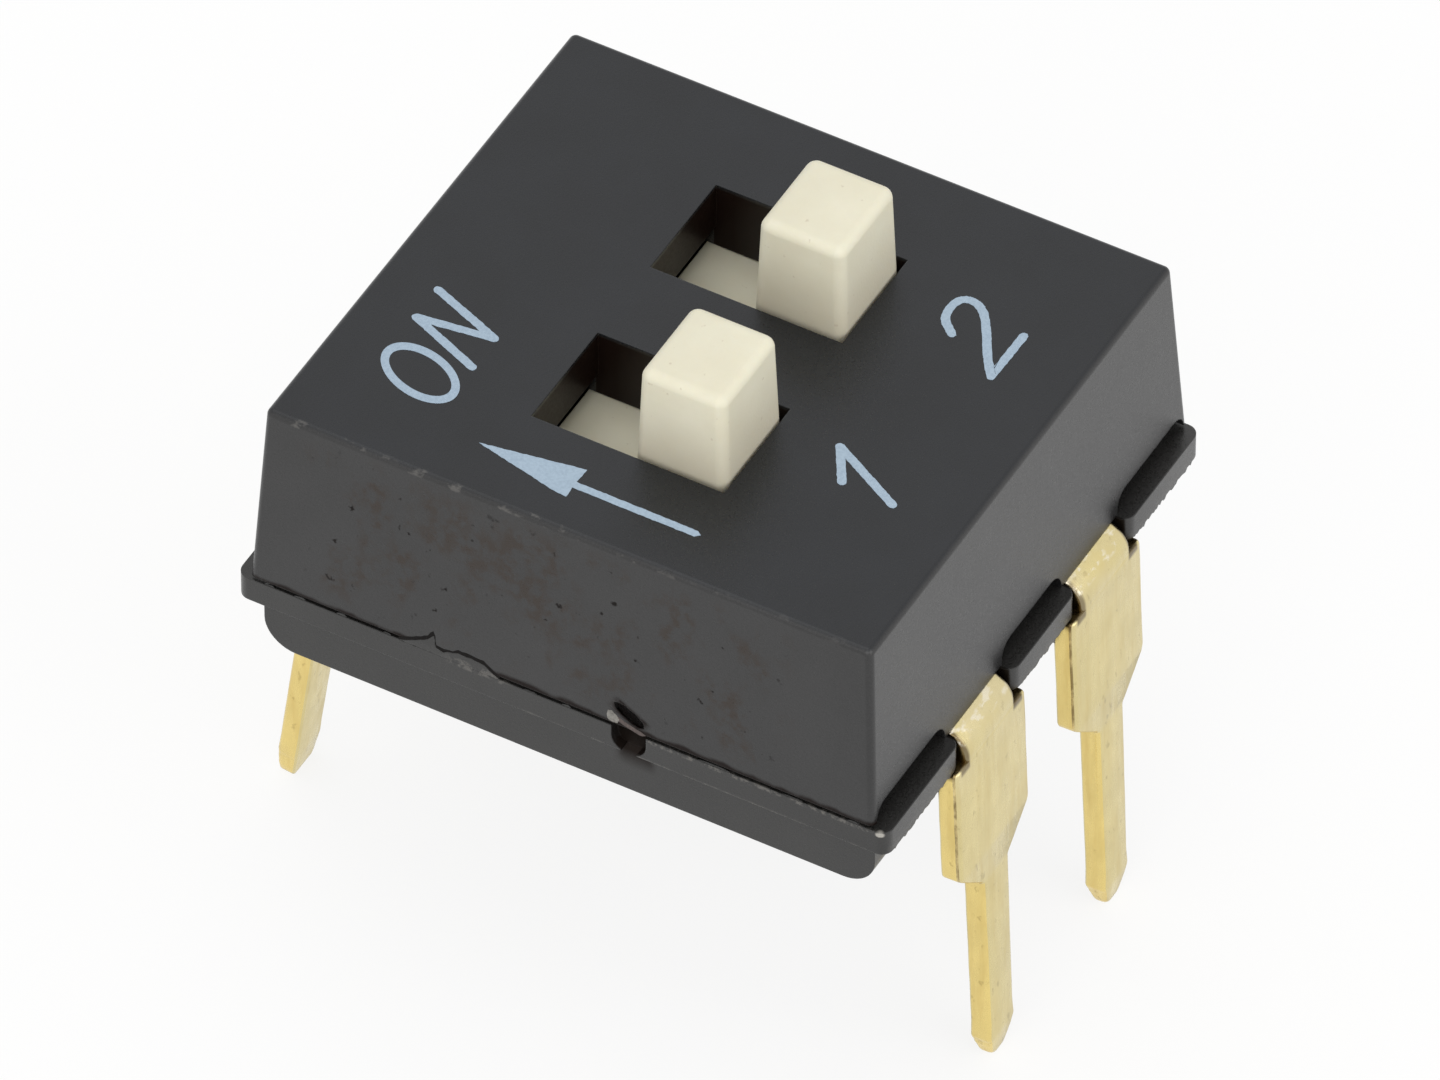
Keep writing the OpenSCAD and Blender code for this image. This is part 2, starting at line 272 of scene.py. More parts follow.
def cover_plastic():
    # The darker colours of the top are painted shade
    shaded_top_dark, shaded_top_light = (0.006, 0.007, 0.009), (0.009, 0.0105, 0.0135)
    brown, pit_black, crease_shade_black = (0.028, 0.0185, 0.0125), (0.006, 0.004, 0.003), (0.009, 0.005, 0.004)
    worn_grey, window_shade_and_reflection_black = (0.12, 0.114, 0.106), (0.011, 0.006, 0.0045)
    m = Nodes("cover_plastic_look")
    x, y, z = m.axes()
    cloud, color, rough, height = black_ground(m, (0.0155, 0.0152, 0.0155))

    # Painted shade: the top is painted darker and a little bluish, with less shine
    top = m.span(z, TOP_Z - 0.03, TOP_Z - 0.005)
    color = m.mix(top, color, m.mix(m.span(cloud, 0.3, 0.7), shaded_top_dark, shaded_top_light))
    shine = m.span(top, 0, 1, BLACK_SHINE, 0.44)

    # Brownish stains and dark pits on the -X wall
    wall = m.times(m.near(x, -3.36, 0.14, 0.03), m.near(y, 0.2, 2.5, 0.6),
                   m.near(z, PART_Z + 1.25, 0.75, 0.45))
    blot = m.span(m.noise(1.7, 3, 0.6, stretch=(1, 1, 0.7), shift=(0, 5, 2)), 0.45, 0.6, smooth=True)
    thin = m.span(m.noise(5.2, 4, 0.65, shift=(3, 0, 1)), 0.4, 0.62, smooth=True)
    stain = m.times(blot, thin, wall, 0.95)
    color = m.mix(stain, color, brown)
    pits = m.times(m.span(m.noise(5.5, 3, 0.6, shift=(7, 1, 4)), 0.66, 0.72), wall)
    color = m.mix(pits, color, pit_black)
    dull = m.most(m.times(stain, 0.32), m.times(pits, 0.8))

    # Painted shade along the parting line and in the slit of the torn gate, darker and less shiny
    rim = m.minus(z, m.span(m.noise(2.2, 3, 0.55), 0.35, 0.65, 0.015, 0.068))
    foot_shade = m.span(rim, PART_Z + RELIEF_H - 0.02, PART_Z + RELIEF_H + 0.04, 1.0, 0.0, smooth=True)
    gate_y, gate_z = m.minus(y, GATE_Y), m.minus(z, PART_Z + GATE_H)
    along = m.plus(m.times(gate_y, math.cos(GATE_TILT)), m.times(gate_z, math.sin(GATE_TILT)))
    across = m.minus(m.times(gate_z, math.cos(GATE_TILT)), m.times(gate_y, math.sin(GATE_TILT)))
    slit_shade = m.times(m.near(along, 0, 0.16, 0.12), m.near(across, 0, 0.07, 0.06),
                   m.span(m.noise(7, 4, 0.7), 0.3, 0.5, 0.4, 1.0))
    crease_shade = m.times(m.most(foot_shade, slit_shade), m.span(x, -3.2, -3.3))
    color = m.mix(crease_shade, color, crease_shade_black)
    shine = m.times(shine, m.span(m.most(dull, m.times(crease_shade, 0.8)), 0, 1, 1.0, 0.0))

    # Worn specks along the upper edge of that wall
    edge = m.times(m.near(x, -3.28, 0.05, 0.03), m.near(z, TOP_Z - 0.035, 0.022, 0.025),
                   m.span(m.noise(8, 3, 0.6, stretch=(1, 0.6, 1)), 0.56, 0.65),
                   m.span(y, -2.6, 0.6, 0.2, 1.0))
    color = m.mix(m.times(edge, 0.65), color, worn_grey)

    # The walls inside the windows are smooth, painted darker and warmer as painted shade of the recess and
    # a painted reflection of the cream slider, and dull towards their far corner as painted shade
    inner = m.times(m.near(m.size(x), PIN_X, 0.73, 0.01), m.near(y, 0, 1.18, 0.01),
                    m.span(z, TOP_Z - 0.02, TOP_Z - 0.06))
    rough = m.times(rough, m.span(inner, 0, 1, 1.0, 1.15))
    color = m.mix(inner, color, window_shade_and_reflection_black)
    place = m.minus(m.math("MODULO", m.plus(x, 2 * PITCH), PITCH), PIN_X)
    corner_shade = m.times(m.span(place, -0.15, 0.35, 0.4, 1.0), m.span(y, 0.55, 0.95))
    shine = m.times(shine, m.span(m.times(inner, m.span(corner_shade, 0, 1, 0.6, 1.0)), 0, 1, 1.0, 0.12))
    height = m.times(height, m.span(inner, 0, 1, 1.0, 0.1))
    return black_finish(m, color, rough, height, shine)


def base_plastic():
    recess_shade_low, recess_shade_high, slot_shade_black = (0.014, 0.0095, 0.0075), (0.006, 0.004, 0.003), (0.006, 0.0045, 0.0035)
    edge_highlight_grey, flake_grey = (0.105, 0.098, 0.088), (0.088, 0.082, 0.074)
    corner_glint_white, broken_grey = (0.42, 0.4, 0.36), (0.05, 0.046, 0.042)
    m = Nodes("base_plastic_look")
    x, y, z = m.axes()
    _, color, rough, height = black_ground(m, (0.0155, 0.015, 0.0142))

    # Painted shade in the recess under the torn gate, darkest towards its top, rougher and less shiny
    grit = m.noise(8, 4, 0.7)
    pit = m.times(m.near(m.plus(y, m.span(grit, 0.3, 0.7, -0.03, 0.03)), GATE_Y, 0.15, 0.13),
                  m.span(z, PART_Z - 0.72, PART_Z - 0.46),
                  m.span(x, FLANGE_X + 0.002, FLANGE_X + 0.02), m.span(x, -3.24, -3.2, 1.0, 0.0))
    color = m.mix(pit, color, m.mix(m.span(z, PART_Z - 0.4, PART_Z - 0.1), recess_shade_low, recess_shade_high))
    rough = m.plus(rough, m.times(pit, 0.4), clamp=True)

    # Painted shade on the ends of the flange beside the pins, with less shine
    slot_shade = m.times(m.near(m.size(x), PIN_X, 0.585, 0.02), m.span(m.size(y), 3.58, 3.64))
    color = m.mix(slot_shade, color, slot_shade_black)
    shine = m.span(m.most(pit, m.times(slot_shade, 0.9)), 0, 1, BLACK_SHINE, 0.06)

    # Light on the -X face of the flange: painted highlights, partly wear, along its upper and lower edges,
    # and light grains at the foot of the flake
    end = m.span(x, FLANGE_X + 0.04, FLANGE_X + 0.02)
    upper_edge_highlight = m.times(m.near(z, PART_Z - 0.025, 0.01, 0.03), m.near(y, -2.4, 1.35, 0.12),
                       m.span(m.noise(17, 3, 0.65), 0.47, 0.62))
    lower_edge_highlight = m.times(m.near(z, PART_Z - 0.315, 0.008, 0.014), m.near(y, -1.5, 1.9, 0.5),
                       m.span(m.noise(5, 4, 0.75), 0.45, 0.66, 0.0, 0.6))
    color = m.mix(m.times(m.most(upper_edge_highlight, lower_edge_highlight), end), color, edge_highlight_grey)
    flake = m.times(m.near(y, 1.0, 0.25, 0.2), m.near(z, PART_Z + 0.01, 0.045, 0.03),
                    m.span(m.noise(13, 3, 0.65), 0.47, 0.6))
    color = m.mix(m.times(flake, end), color, flake_grey)

    # Painted glint on the corner of the flange
    corner_glint = m.times(m.near(x, -3.42, 0.0, 0.07), m.near(y, -3.84, 0.0, 0.07),
                   m.near(z, PART_Z - 0.03, 0.0, 0.05), m.span(grit, 0.25, 0.55, 0.5, 1.0))
    color = m.mix(m.span(corner_glint, 0.1, 0.4), color, corner_glint_white)

    # Broken lower edge of the flange on the numbered side
    rag = m.times(m.span(y, -3.9, -3.925), m.near(z, PART_Z - 0.31, 0.05, 0.05),
                  m.span(m.noise(10, 3, 0.6), 0.4, 0.6))
    color = m.mix(m.times(rag, 0.6), color, broken_grey)
    return black_finish(m, color, rough, height, shine)


# ---------------------------------------------------------------- other materials
def cream_plastic():
    cream_dark, cream_light = (0.8, 0.755, 0.585), (0.845, 0.81, 0.645)
    speck_brown, foot_shade_brown = (0.55, 0.47, 0.33), (0.6, 0.53, 0.4)
    m = Nodes("actuator_plastic_look")
    _, _, z = m.axes()
    cloud = m.noise(1.6, 4, 0.6)
    grain = m.noise(26, 3, 0.6)
    color = m.mix(m.span(cloud, 0.3, 0.7), cream_dark, cream_light)
    speck = m.span(m.noise(11, 2, 0.5), 0.7, 0.76, 0.0, 0.45)
    color = m.mix(speck, color, speck_brown)
    # Painted shade: slightly darker and browner towards the foot of the block
    foot_shade = m.times(m.span(z, TOP_Z + 0.05, TOP_Z + 0.85, 0.5, 0.0), m.span(z, TOP_Z - 0.3, TOP_Z - 0.05))
    color = m.mix(foot_shade, color, foot_shade_brown)
    rough = m.span(grain, 0.3, 0.7, 0.46, 0.62)
    normal = m.bump(grain, 0.006, 0.35, m.soft_edge(0.02))
    return m.set(color=color, rough=rough, normal=normal, ior=1.47,
                 sss=0.12, sss_scale=GLOW_DEPTH, sss_radius=(1.0, 0.8, 0.5))


def gold_strip(name, tone, worn, dark=0.0, line=0.0):
    """Gold plated strip. With dark it is an edge of the strip, with painted shade where it
    runs inside the flange, and with line that edge has a broken dark seam. Without them it is a flat face."""
    seam_brown, edge_shade_brown, gap_brown = (0.16, 0.11, 0.045), (0.1, 0.065, 0.025), (0.09, 0.055, 0.02)
    bend_glint_white, grey_gold = (0.92, 0.87, 0.75), (0.7, 0.62, 0.42)
    m = Nodes(name)
    cloud = m.noise(2.2, 4, 0.6)
    brush = m.noise(9, 4, 0.65, stretch=(1.0, 1.0, 0.12))
    pit = m.noise(30, 3, 0.6)
    color = m.mix(m.span(cloud, 0.3, 0.7), shade(tone, 0.94), shade(tone, 1.06))
    color = m.mix(m.span(brush, 0.45, 0.75, 0.0, 0.45), color, worn)
    speck = m.span(m.noise(8.5, 3, 0.6, stretch=(1, 1, 0.6)), 0.63, 0.7, 0.0, 0.4)
    color = m.mix(speck, color, shade(worn, 0.55))
    x, _, z = m.axes()
    if line:
        gaps = m.noise(5, 4, 0.7, stretch=(1, 1, 0.5))
        high = m.span(z, -0.4, 0.5, 0.15, line)
        color = m.mix(m.times(m.span(gaps, 0.4, 0.56), high), color, seam_brown)
    if dark:
        # Painted shade on the edge where it runs inside the flange
        slot_shade = m.times(m.span(z, PART_Z - 0.48, PART_Z - 0.4), dark)
        color = m.mix(slot_shade, color, edge_shade_brown)
    else:
        # Shadow and dirt beside the ends of the flange
        off = m.size(m.minus(m.size(x), PIN_X))
        slot_shade = m.times(m.span(off, 0.455, 0.49), m.near(off, 0.4, 0.24, 0.04),
                       m.span(z, PART_Z - 0.47, PART_Z - 0.42))
        color = m.mix(m.times(slot_shade, 0.92), color, gap_brown)
        # Painted glints on the bend, and a greyer upper part
        bend = m.near(z, PART_Z - 0.07, 0.05, 0.05)
        glint = m.times(m.span(m.noise(8, 3, 0.6, stretch=(0.6, 1, 1)), 0.54, 0.64), bend)
        color = m.mix(m.times(glint, 0.7), color, bend_glint_white)
        grey = m.times(m.span(z, PART_Z - 0.9, PART_Z - 0.1), m.span(m.noise(1.3, 3, 0.6), 0.35, 0.6))
        color = m.mix(m.times(grey, 0.45), color, grey_gold)
    rough = m.span(brush, 0.3, 0.75, 0.2, 0.42)
    height = m.plus(m.times(brush, 0.7), m.times(pit, 0.3))
    return m.set(color=color, rough=rough, normal=m.bump(height, 0.012, 0.35), metal=1.0)


def print_ink():
    ink_dark, ink_light = (0.34, 0.44, 0.545), (0.41, 0.52, 0.63)
    m = Nodes("print_ink")
    grain = m.noise(28, 4, 0.7)
    color = m.mix(m.span(grain, 0.36, 0.62), ink_dark, ink_light)
    return m.set(color=color, rough=0.55, normal=m.bump(grain, 0.004, 0.4), ior=1.45)


def rough_plastic(name, tone, shine):
    m = Nodes(name)
    grain = m.noise(24, 4, 0.7)
    color = m.mix(m.span(grain, 0.35, 0.65), shade(tone, 0.6), shade(tone, 1.3))
    rough = m.span(grain, 0.3, 0.7, 0.6, 0.85)
    return m.set(color=color, rough=rough, normal=m.bump(grain, 0.01, 0.6), specular=shine)


# ---------------------------------------------------------------- mesh helpers
def add(name, me, mat, body):
    o = bpy.data.objects.new(name, me)
    coll.objects.link(o)
    me.materials.append(mat)
    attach(o, body)
    return o


def add_mesh(name, verts, faces, mat, body):
    me = bpy.data.meshes.new(name)
    me.from_pydata([tuple(Vector(v) * MM) for v in verts], [], faces)
    me.update()
    return add(name, me, mat, body)


def dressed(node, body, mat):
    """A copy of a CAD node, smooth over its roundings and flat on its faces."""
    me = frame["nodes"][node].data.copy()
    me.name = node + "_look"
    if me.has_custom_normals:
        me.attributes.remove(me.attributes["custom_normal"])
    bm = bmesh.new()
    bm.from_mesh(me)
    bmesh.ops.remove_doubles(bm, verts=bm.verts, dist=MERGE_DIST)
    bm.to_mesh(me)
    bm.free()
    me.shade_smooth()
    me.set_sharp_from_angle(angle=math.radians(30))
    me.materials.clear()
    o = add(node + "_look", me, mat, body)
    mod = o.modifiers.new("normals", "WEIGHTED_NORMAL")
    mod.mode = "FACE_AREA"
    mod.weight = 80
    mod.keep_sharp = True
    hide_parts(node)


# ---------------------------------------------------------------- terminals
# Along the tip: share of its height, narrowing, share of the full thickness
TIP_STEPS = ((-0.2, 0, 1.0), (-0.08, 0, 0.99), (0.0, 0.004, 0.97), (0.12, 0.004, 0.93),
             (0.25, 0.004, 0.88), (0.38, 0.003, 0.82), (0.5, 0.002, 0.76), (0.62, 0.0, 0.7),
             (0.74, 0.0, 0.65), (0.84, 0.0, 0.6), (0.93, 0.004, 0.56), (0.98, 0.018, 0.5),
             (1.0, 0.04, 0.4))
# Corners of the strip's section: signs across and through, radius, first angle
CORNERS = ((1, 1, 0.06, 0), (-1, 1, 0.06, 90), (-1, -1, 0.025, 180), (1, -1, 0.025, 270))
CORNER_POINTS = 4
# Faces round the section: the two edges of the strip, and the corners beside them
EDGE_FACES, SEAM_FACES, ROLLED_FACES = (7, 15), (0, 6), (0, 1, 5, 6)
FACE, EDGE, SEAM = 0, 1, 2
UNEVEN = 0.004


def strip_rows(flat, bend, top, shoulder, taper, tip, tip_w, coin):
    """Stations along a terminal: length, half width, share of the full thickness."""
    neck, wide, leg, end, nose = (w / 2 for w in (NECK_W, WIDE_W, LEG_W, LEG_END_W, tip_w))
    rows = [(0.0, neck - 0.03, 0.85), (0.03, neck, 1.0)]
    rows += [(flat * k / 4, neck, 1.0) for k in (1, 2, 3)]
    rows += [(flat + bend * k / 12, neck, 1.0) for k in range(13)]
    # Rounded upper corner of the wide part
    r = 0.05
    rows += [(top - 0.01, neck, 1.0), (top, wide - r, 1.0)]
    rows += [(top + r * (1 - math.cos(a)), wide - r + r * math.sin(a), 1.0)
             for a in (math.pi / 10 * k for k in range(1, 6))]
    rows += [(top + (shoulder - 0.1 - top) * k / 6, wide, 1.0) for k in range(1, 6)]
    # Rounded shoulder and the taper to the leg
    slant, r = math.atan2(wide - leg, taper - shoulder), 0.14
    start = shoulder - r * math.tan(slant / 2)
    for k in range(6):
        a = slant * k / 5
        rows.append((start + r * math.sin(a), wide - r * (1 - math.cos(a)), 1.0))
    rows += [(shoulder + (taper - shoulder) * k / 6, wide + (leg - wide) * k / 6, 1.0)
             for k in range(2, 6)]
    rows += [(taper - 0.02, leg + 0.02, 1.0), (taper + 0.01, leg + 0.002, 1.0),
             (taper + 0.05, leg, 1.0)]
    # Leg and coined tip
    low = tip - TIP_H
    rows += [(taper + (low - taper) * k / 9, leg + (end - leg) * k / 9, 1.0) for k in range(1, 9)]
    rows += [(low + TIP_H * u, nose + (end - nose) * (1 - u) ** 0.6 - v, 1 - coin * (1 - k))
             for u, v, k in TIP_STEPS]
    return rows


def terminal_look(node, x0, side, y_in, splay_deg, tip_w, coin, mats, seed):
    """A bent flat pin lofted along its strip. side is +1 for the ON row, y_in is where the
    strip starts inside, tip_w is the width of the tip, and coin says how thin it is pressed."""
    rnd = random.Random(seed)
    splay = math.radians(splay_deg)
    yc, zc = LEG_Y - BEND_R, PART_Z - BEND_R
    r_mid = BEND_R - STRIP_T / 2
    flat = yc - y_in
    bend = r_mid * (math.pi / 2 - splay)
    bend_end = flat + bend

    def drop(z):
        return (zc - z) / math.cos(splay)

    def place(s, t):
        """Point at length s and height t over the middle of the strip."""
        if s < flat:
            y, z = y_in + s, PART_Z - STRIP_T / 2 + t
        elif s < bend_end:
            a = math.pi / 2 - (s - flat) / r_mid
            y, z = yc + (r_mid + t) * math.cos(a), zc + (r_mid + t) * math.sin(a)
        else:
            d = s - flat - bend
            y = yc + (r_mid + t) * math.cos(splay) + d * math.sin(splay)
            z = zc + (r_mid + t) * math.sin(splay) - d * math.cos(splay)
        return y * side, z

    top = (WIDE_GAP + FLANGE_T - BEND_R + BEND_R * math.sin(splay)) / math.cos(splay)
    tip = drop(-PIN_DEPTH) + (BEND_R - STRIP_T) * math.tan(splay)
    ends = [bend_end + e for e in (top, drop(SHOULDER_H), drop(-TAPER_END), tip)]
    rows = strip_rows(flat, bend, *ends, tip_w, coin)
    h0 = STRIP_T / 2
    shape = [(cx, cy, r, math.radians(a0 + 30 * k))
             for cx, cy, r, a0 in CORNERS for k in range(CORNER_POINTS)]
    verts, faces, kinds, n = [], [], [], len(shape)
    for s, w, k in rows:
        wob = [rnd.uniform(-UNEVEN, UNEVEN) if bend_end < s else 0 for _ in range(2)]
        for cx, cy, r, a in shape:
            r = min(r, h0 * k)
            x = cx * (w - r + wob[cx > 0] - UNEVEN) + r * math.cos(a)
            t = cy * (h0 * k - r) + r * math.sin(a)
            y, z = place(s, t)
            verts.append((x0 + x, y, z))
    for i in range(len(rows) - 1):
        narrow = rows[i][0] > ends[2]
        for j in range(n):
            q = j, (j + 1) % n
            faces.append((i * n + q[0], i * n + q[1], (i + 1) * n + q[1], (i + 1) * n + q[0]))
            if j in EDGE_FACES or narrow and j in ROLLED_FACES:
                kinds.append(EDGE)
            else:
                kinds.append(SEAM if j in SEAM_FACES else FACE)
    faces += [tuple(range(n)), tuple(len(verts) - n + j for j in range(n))]
    kinds += [FACE, EDGE]
    o = add_mesh(node + "_look", verts, faces, mats[FACE], "housing")
    for m in mats[1:]:
        o.data.materials.append(m)
    o.data.polygons.foreach_set("material_index", kinds)
    bm = bmesh.new()
    bm.from_mesh(o.data)
    bmesh.ops.recalc_face_normals(bm, faces=bm.faces)
    bm.to_mesh(o.data)
    bm.free()
    o.data.shade_smooth()
    o.data.set_sharp_from_angle(angle=math.radians(50))
    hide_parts(node)


# ---------------------------------------------------------------- flat shapes on the housing
def ribbon(points, width):
    """Outline of one stroke along the points, with round ends and round outer corners."""
    pts = [Vector((*p, 0)) for p in points]
    w = width / 2
    steps = 8

    def side(seq):
        out = []
        for i, p in enumerate(seq):
            a = (p - seq[i - 1]).normalized() if i else None
            b = (seq[i + 1] - p).normalized() if i < len(seq) - 1 else None
            if a is None or b is None:
                d = b or a
                out.append(p + Vector((-d.y, d.x, 0)) * w)
                continue
            na, nb = Vector((-a.y, a.x, 0)), Vector((-b.y, b.x, 0))
            if a.x * b.y - a.y * b.x > 0:
                mid = (na + nb).normalized()
                out.append(p + mid * (w / max(mid.dot(na), 0.2)))
            else:
                a0, a1 = math.atan2(na.y, na.x), math.atan2(nb.y, nb.x)
                while a1 > a0:
                    a1 -= 2 * math.pi
                n = max(1, int(steps * (a0 - a1) / math.pi))
                for k in range(n + 1):
                    t = a0 + (a1 - a0) * k / n
                    out.append(p + Vector((math.cos(t), math.sin(t), 0)) * w)
        return out

    def cap(p, d):
        a0 = math.atan2(d.x, -d.y)
        turns = [a0 - math.pi * k / steps for k in range(1, steps)]
        return [p + Vector((math.cos(a), math.sin(a), 0)) * w for a in turns]

    end = (pts[-1] - pts[-2]).normalized()
    start = (pts[0] - pts[1]).normalized()
    return side(pts) + cap(pts[-1], end) + side(pts[::-1]) + cap(pts[0], start)


def curve_points(knots, per=6):
    """Smooth curve through the knots."""
    out = []
    k = [knots[0]] + list(knots) + [knots[-1]]
    for i in range(1, len(k) - 2):
        p0, p1, p2, p3 = (Vector((*q, 0)) for q in k[i - 1:i + 3])
        for s in range(per):
            t = s / per
            out.append(0.5 * ((2 * p1) + (p2 - p0) * t + (2 * p0 - 5 * p1 + 4 * p2 - p3) * t * t
                              + (3 * p1 - 3 * p2 + p3 - p0) * t ** 3))
    out.append(Vector((*knots[-1], 0)))
    return [(p.x, p.y) for p in out]


def on_top(u, v, w):
    """Top of the cover: u along X, v along Y, w upward."""
    return Vector((u, v, TOP_Z + w))


def on_end_wall(u, v, w):
    """-X wall of the cover: u along Y, v over the parting line, w outward. The outermost
    layers stop at the face of the flange, each a little behind the one over it."""
    limit = base_lo.x + 0.4 * max(0.0, 0.0035 - w)
    return Vector((max(cover_lo.x + WALL_LEAN * (v - RELIEF_H) - w, limit), u, PART_Z + v))


def under_flange(u, v, w):
    """Flange edge on the numbered side: u along X, v over its lower edge, w outward."""
    return Vector((u, base_lo.y - w, PART_Z - FLANGE_T + v))


def plate(name, outline, place, low, high, mat, wobble=0.0, seed=1, step=0.035):
    """A thin flat shape on a face of the housing, with a slightly uneven edge."""
    rnd = random.Random(seed)
    outline = [Vector((*p, 0)) if len(p) == 2 else p for p in outline]
    dense = []
    for i, p in enumerate(outline):
        q = outline[(i + 1) % len(outline)]
        steps = max(1, int((q - p).length / step))
        for k in range(steps):
            stray = Vector((rnd.uniform(-1, 1), rnd.uniform(-1, 1), 0)) * wobble
            dense.append(p.lerp(q, k / steps) + stray)
    bm = bmesh.new()
    top = [bm.verts.new(place(v.x, v.y, high) * MM) for v in dense]
    base = [bm.verts.new(place(v.x, v.y, low) * MM) for v in dense]
    caps = [bm.faces.new(top), bm.faces.new(base[::-1])]
    for i in range(len(dense)):
        j = (i + 1) % len(dense)
        bm.faces.new((top[j], top[i], base[i], base[j]))
    bmesh.ops.triangulate(bm, faces=caps)
    bmesh.ops.recalc_face_normals(bm, faces=bm.faces)
    me = bpy.data.meshes.new(name)
    bm.to_mesh(me)
    bm.free()
    add(name, me, mat, "housing")


def printed_marks(ink):
    low, high, stroke = -0.002, 0.004, 0.098

    def mark(name, outline, seed):
        plate("print_" + name, outline, on_top, low, high, ink, 0.004, seed)

    # The letter O is a leaning ring
    mid, lean, half_w, half_h, n = Vector((-2.0, 2.49, 0)), 0.223, 0.285, 0.455, 56
    rings = []
    for grow in (0.05, -0.05):
        hw, hh = half_w + grow, half_h + grow
        rings.append([mid + Vector((hw * math.cos(a) + lean * hh * math.sin(a), hh * math.sin(a), 0))
                      for a in (2 * math.pi * k / n for k in range(n))])
    verts = [on_top(p.x, p.y, w_z) for w_z in (low, high) for ring in rings for p in ring]
    faces = []
    for i in range(n):
        j = (i + 1) % n
        faces += [(2 * n + i, 2 * n + j, 3 * n + j, 3 * n + i), (i, j, 2 * n + j, 2 * n + i),
                  (n + j, n + i, 3 * n + i, 3 * n + j), (j, i, n + i, n + j)]
    add_mesh("print_letter_o", verts, faces, ink, "housing")

    letter_n = [(-1.66, 2.055), (-1.30, 2.94), (-1.175, 2.06), (-0.835, 2.94)]
    one = [(-1.235, -2.155), (-0.79, -1.885), (-1.27, -2.78)]
    two = curve_points([(1.245, -2.1), (1.41, -1.93), (1.62, -1.9), (1.745, -1.95), (1.775, -2.08),
                        (1.68, -2.24), (1.42, -2.42), (1.12, -2.6), (0.89, -2.765)])
    two.append((1.585, -2.775))
    arrow = [(-2.594, 1.44), (-2.385, 0.25), (-2.595, 0.262), (-2.6, -1.2), (-2.64, -1.255),
             (-2.69, -1.2), (-2.688, 0.262), (-2.84, 0.25), (-2.825, 0.4)]
    mark("letter_n", ribbon(letter_n, stroke), 2)
    mark("number_1", ribbon(one, stroke), 3)
    mark("number_2", ribbon(two, stroke), 4)
    mark("arrow", arrow, 5)


# ---------------------------------------------------------------- moulding faults
# Flake of flash over the parting line: outline along Y and up, and how far the dark sheet of painted
# shadow reaches over it
FLAKE = [(1.95, 0.0), (1.74, 0.09), (1.6, 0.17), (1.535, 0.25), (1.515, 0.2), (1.5, 0.09), (1.41, 0.075),
         (1.3, 0.12), (1.236, 0.145), (1.08, 0.14), (0.92, 0.127), (0.83, 0.06), (0.72, 0.0)]
FLAKE_SHADOW_BAND = [0.04, 0.05, 0.055, 0.06, 0.055, 0.045, 0.045, 0.015, 0.04, 0.045, 0.055, 0.055, 0.04]
FLAKE_FOOT = [(0.72, -0.004), (1.95, -0.004)]
# Bright ridge under the torn gate and the white chip at its end
GATE_RIDGE = [(-0.64, 0.17), (-0.72, 0.15), (-0.84, 0.115), (-0.97, 0.085), (-1.04, 0.05), (-1.0, 0.02),
              (-0.9, 0.03), (-0.78, 0.07), (-0.68, 0.11)]
GATE_CHIP = [(-0.57, 0.2), (-0.625, 0.21), (-0.68, 0.18), (-0.715, 0.12), (-0.69, 0.075), (-0.63, 0.06),
             (-0.575, 0.09), (-0.56, 0.14)]
# Half length and half height of the lens left open in the slot of the gate, and of its skin
LENS_L, LENS_H, SKIN_L, SKIN_H = 0.212, 0.077, 0.225, 0.085
# Segments of the flange on the numbered side
SEGMENTS = ((-3.26, -1.98), (-0.56, 0.56), (1.98, 3.26))


def parting_flash(base_mat, flake_shadow_mat):
    # A very dark sheet behind the flake, a little larger, is painted shadow over it
    shadow_band = [(y, h + r) for (y, h), r in zip(FLAKE, FLAKE_SHADOW_BAND)]
    plate("flake_shadow_sheet", shadow_band + FLAKE_FOOT, on_end_wall, -0.01, 0.001, flake_shadow_mat,
          0.007, 11, 0.05)
    plate("flash_flake", FLAKE + FLAKE_FOOT, on_end_wall, -0.01, 0.0035, base_mat,
          0.006, 12, 0.05)


def torn_gate(cover_mat, chip_mat, ridge_mat):
    plate("gate_ridge", GATE_RIDGE, on_end_wall, -0.01, 0.0025, ridge_mat,
          0.008, 13, 0.05)
    # Torn skin that narrows the slanted slot to a lens
    rnd = random.Random(17)
    for k, side in enumerate((1, -1)):
        lens = []
        for i in range(15):
            u = -LENS_L + 2 * LENS_L * i / 14
            v = LENS_H * (1 - (u / LENS_L) ** 2) ** 0.55 + rnd.uniform(-0.006, 0.006)
            lens.append((u, side * v))
        skin = [(-SKIN_L, 0.0), (-SKIN_L, side * SKIN_H), (SKIN_L, side * SKIN_H), (SKIN_L, 0.0)]
        skin += lens[::-1]
        skin = [(GATE_Y + u * math.cos(GATE_TILT) - v * math.sin(GATE_TILT),
                 GATE_H + u * math.sin(GATE_TILT) + v * math.cos(GATE_TILT))
                for u, v in (skin if side < 0 else skin[::-1])]
        plate(f"gate_skin_{k}", skin, on_end_wall, -0.012, 0.0008, cover_mat,
              0.0, 15 + k, 0.05)
    plate("gate_chip", GATE_CHIP, on_end_wall, -0.01, 0.004, chip_mat,
          0.009, 14, 0.03)


